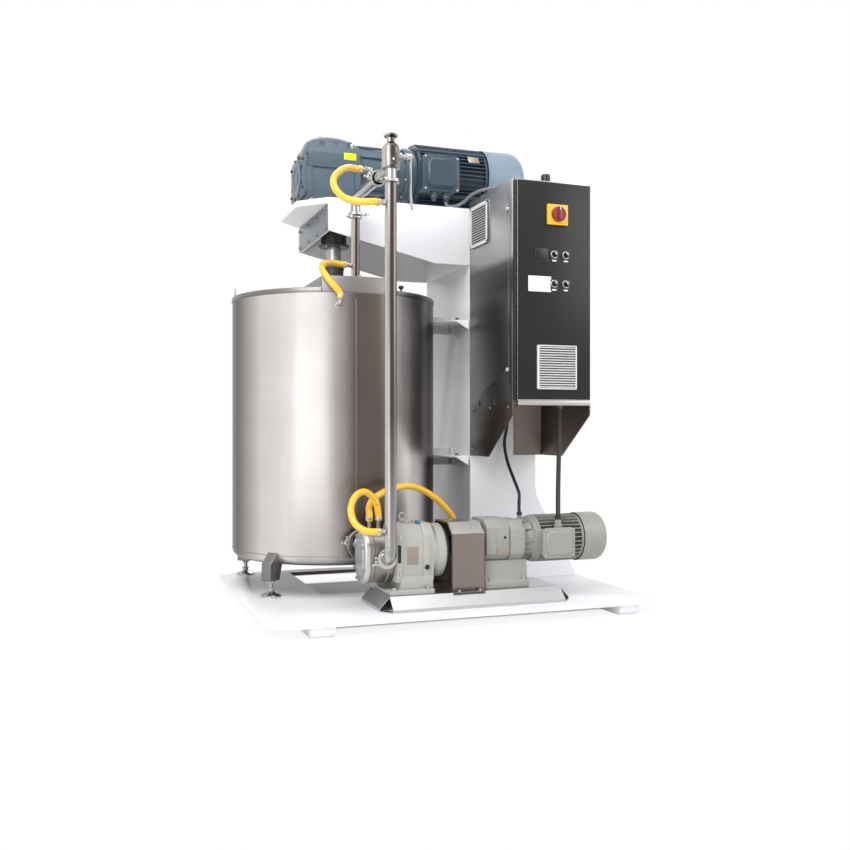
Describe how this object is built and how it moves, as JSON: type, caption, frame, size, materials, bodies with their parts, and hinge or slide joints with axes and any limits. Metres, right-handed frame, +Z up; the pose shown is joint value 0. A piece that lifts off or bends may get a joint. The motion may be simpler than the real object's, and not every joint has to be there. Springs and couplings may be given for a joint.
{
  "type": "chocolate grinding machine",
  "caption": "Jacketed stirred tank that grinds chocolate mass, with an overhead drive, a circulation pump and a control cabinet on one base plate.",
  "frame": {"origin": "on the floor under the middle of the machine's footprint", "axes": "+Z up, -Y to the front with the pump and the cabinet door, +X to the machine's right from the tank to the cabinet"},
  "size_m": [1.774, 1.53, 2.323],
  "materials": {
    "white_paint": "satin white paint",
    "tank_steel": "brushed stainless steel",
    "pipe_steel": "polished stainless steel",
    "handle_steel": "brushed stainless steel",
    "shaft_steel": "machined steel",
    "pump_steel": "brushed stainless steel",
    "cabinet_steel": "brushed stainless steel",
    "dark_casting": "dark painted casting",
    "gearbox_paint": "blue-grey painted casting",
    "motor_paint": "blue-grey painted casting",
    "pump_paint": "beige-grey painted casting",
    "yellow_hose": "glossy yellow rubber hose",
    "black_cable": "matte black sheath",
    "grey_cable": "matte grey sheath",
    "coupling_rubber": "black rubber and iron",
    "door_paint": "dark textured paint",
    "filter_plastic": "light grey moulded plastic",
    "switch_plastic": "red moulded plastic",
    "knob_plastic": "black moulded plastic",
    "lock_metal": "bright zinc casting"
  },
  "bodies": {
    "machine": {"base_plate": "white_paint", "skid_left": "white_paint", "skid_right": "white_paint", "column": "white_paint", "arm": "white_paint", "tank_jacket": "tank_steel", "tank_vessel": "tank_steel", "tank_leg_front_left": "tank_steel", "tank_leg_front_right": "tank_steel", "tank_leg_back_left": "tank_steel", "tank_leg_back_right": "tank_steel", "tank_outlet": "pipe_steel", "lid_bridge": "tank_steel", "bearing_housing": "dark_casting", "shaft_lantern": "dark_casting", "gearbox_case": "gearbox_paint", "motor_frame": "motor_paint", "motor_terminal_box": "motor_paint", "motor_cowl": "motor_paint", "riser_pipe": "pipe_steel", "branch_pipe": "pipe_steel", "top_valve": "pipe_steel", "drop_pipe": "pipe_steel", "outlet_elbow": "pipe_steel", "hose_top": "yellow_hose", "hose_lid": "yellow_hose", "hose_pump": "yellow_hose", "hose_supply": "yellow_hose", "pump_conduit": "black_cable", "control_cable": "black_cable", "motor_cable": "grey_cable", "pump_tray": "pump_steel", "pump_cover": "pump_steel", "pump_head": "pump_steel", "pump_gear_case": "pump_paint", "coupling_guard": "pump_steel", "reducer": "pump_paint", "pump_motor_frame": "pump_paint", "pump_motor_cowl": "pump_paint", "cabinet_body": "cabinet_steel", "mounting_plate": "cabinet_steel", "cabinet_bracket": "cabinet_steel"},
    "agitator": {"agitator": "shaft_steel"},
    "motor_rotor": {"motor_rotor": "shaft_steel"},
    "pump_drive": {"rotor_upper": "shaft_steel", "pump_coupling": "coupling_rubber"},
    "rotor_lower": {"rotor_lower": "shaft_steel"},
    "pump_motor_rotor": {"pump_motor_rotor": "shaft_steel"},
    "lid_left": {"lid_left": "tank_steel"},
    "lid_right": {"lid_right": "tank_steel"},
    "valve_handle": {"valve_handle": "handle_steel"},
    "cabinet_door": {"cabinet_door": "door_paint", "filter_grille": "filter_plastic"},
    "main_switch_knob": {"main_switch_knob": "switch_plastic"},
    "selector_1": {"selector_1": "knob_plastic"},
    "selector_2": {"selector_2": "knob_plastic"},
    "selector_3": {"selector_3": "knob_plastic"},
    "selector_4": {"selector_4": "knob_plastic"},
    "lock_upper": {"lock_upper": "lock_metal"},
    "lock_lower": {"lock_lower": "lock_metal"}
  },
  "joints": [
    {"name": "agitator_turn", "type": "hinge", "parent": "machine", "child": "agitator", "pos_m": [-0.362, 0.255, 1], "axis": [0, 0, 1], "continuous": true},
    {"name": "motor_turn", "type": "hinge", "parent": "machine", "child": "motor_rotor", "pos_m": [0.043, 0.255, 2.155], "axis": [1, 0, 0], "continuous": true},
    {"name": "pump_turn", "type": "hinge", "parent": "machine", "child": "pump_drive", "pos_m": [-0.432, -0.49, 0.3175], "axis": [1, 0, 0], "continuous": true},
    {"name": "pump_lower_turn", "type": "hinge", "parent": "machine", "child": "rotor_lower", "pos_m": [-0.432, -0.49, 0.2425], "axis": [1, 0, 0], "continuous": true},
    {"name": "pump_motor_turn", "type": "hinge", "parent": "machine", "child": "pump_motor_rotor", "pos_m": [0.3718, -0.49, 0.332], "axis": [1, 0, 0], "continuous": true},
    {"name": "lid_left_swing", "type": "hinge", "parent": "machine", "child": "lid_left", "pos_m": [-0.545, 0.255, 1.4833], "axis": [0, 1, 0], "range_deg": [0, 75]},
    {"name": "lid_right_swing", "type": "hinge", "parent": "machine", "child": "lid_right", "pos_m": [-0.179, 0.255, 1.4833], "axis": [0, -1, 0], "range_deg": [0, 30]},
    {"name": "valve_swing", "type": "hinge", "parent": "machine", "child": "valve_handle", "pos_m": [-0.347, -0.635, 1.988], "axis": [-1, 0, 0], "range_deg": [0, 90]},
    {"name": "door_swing", "type": "hinge", "parent": "machine", "child": "cabinet_door", "pos_m": [0.677, -0.517, 0.96], "axis": [0, 0, 1], "range_deg": [0, 120]},
    {"name": "main_switch_turn", "type": "hinge", "parent": "cabinet_door", "child": "main_switch_knob", "pos_m": [0.5, -0.517, 1.826], "axis": [0, 1, 0], "range_deg": [0, 90]},
    {"name": "selector_1_turn", "type": "hinge", "parent": "cabinet_door", "child": "selector_1", "pos_m": [0.487, -0.517, 1.642], "axis": [0, 1, 0], "range_deg": [-45, 45]},
    {"name": "selector_2_turn", "type": "hinge", "parent": "cabinet_door", "child": "selector_2", "pos_m": [0.547, -0.517, 1.642], "axis": [0, 1, 0], "range_deg": [-45, 45]},
    {"name": "selector_3_turn", "type": "hinge", "parent": "cabinet_door", "child": "selector_3", "pos_m": [0.487, -0.517, 1.507], "axis": [0, 1, 0], "range_deg": [-45, 45]},
    {"name": "selector_4_turn", "type": "hinge", "parent": "cabinet_door", "child": "selector_4", "pos_m": [0.547, -0.517, 1.507], "axis": [0, 1, 0], "range_deg": [-45, 45]},
    {"name": "lock_upper_turn", "type": "hinge", "parent": "machine", "child": "lock_upper", "pos_m": [0.275, -0.461, 1.848], "axis": [-1, 0, 0], "range_deg": [0, 90]},
    {"name": "lock_lower_turn", "type": "hinge", "parent": "machine", "child": "lock_lower", "pos_m": [0.275, -0.461, 1.107], "axis": [-1, 0, 0], "range_deg": [0, 90]}
  ],
  "couplings": [
    {"joint": "motor_turn", "follows": "agitator_turn", "ratio": 12},
    {"joint": "pump_lower_turn", "follows": "pump_turn", "ratio": -1},
    {"joint": "pump_motor_turn", "follows": "pump_turn", "ratio": 5}
  ]
}
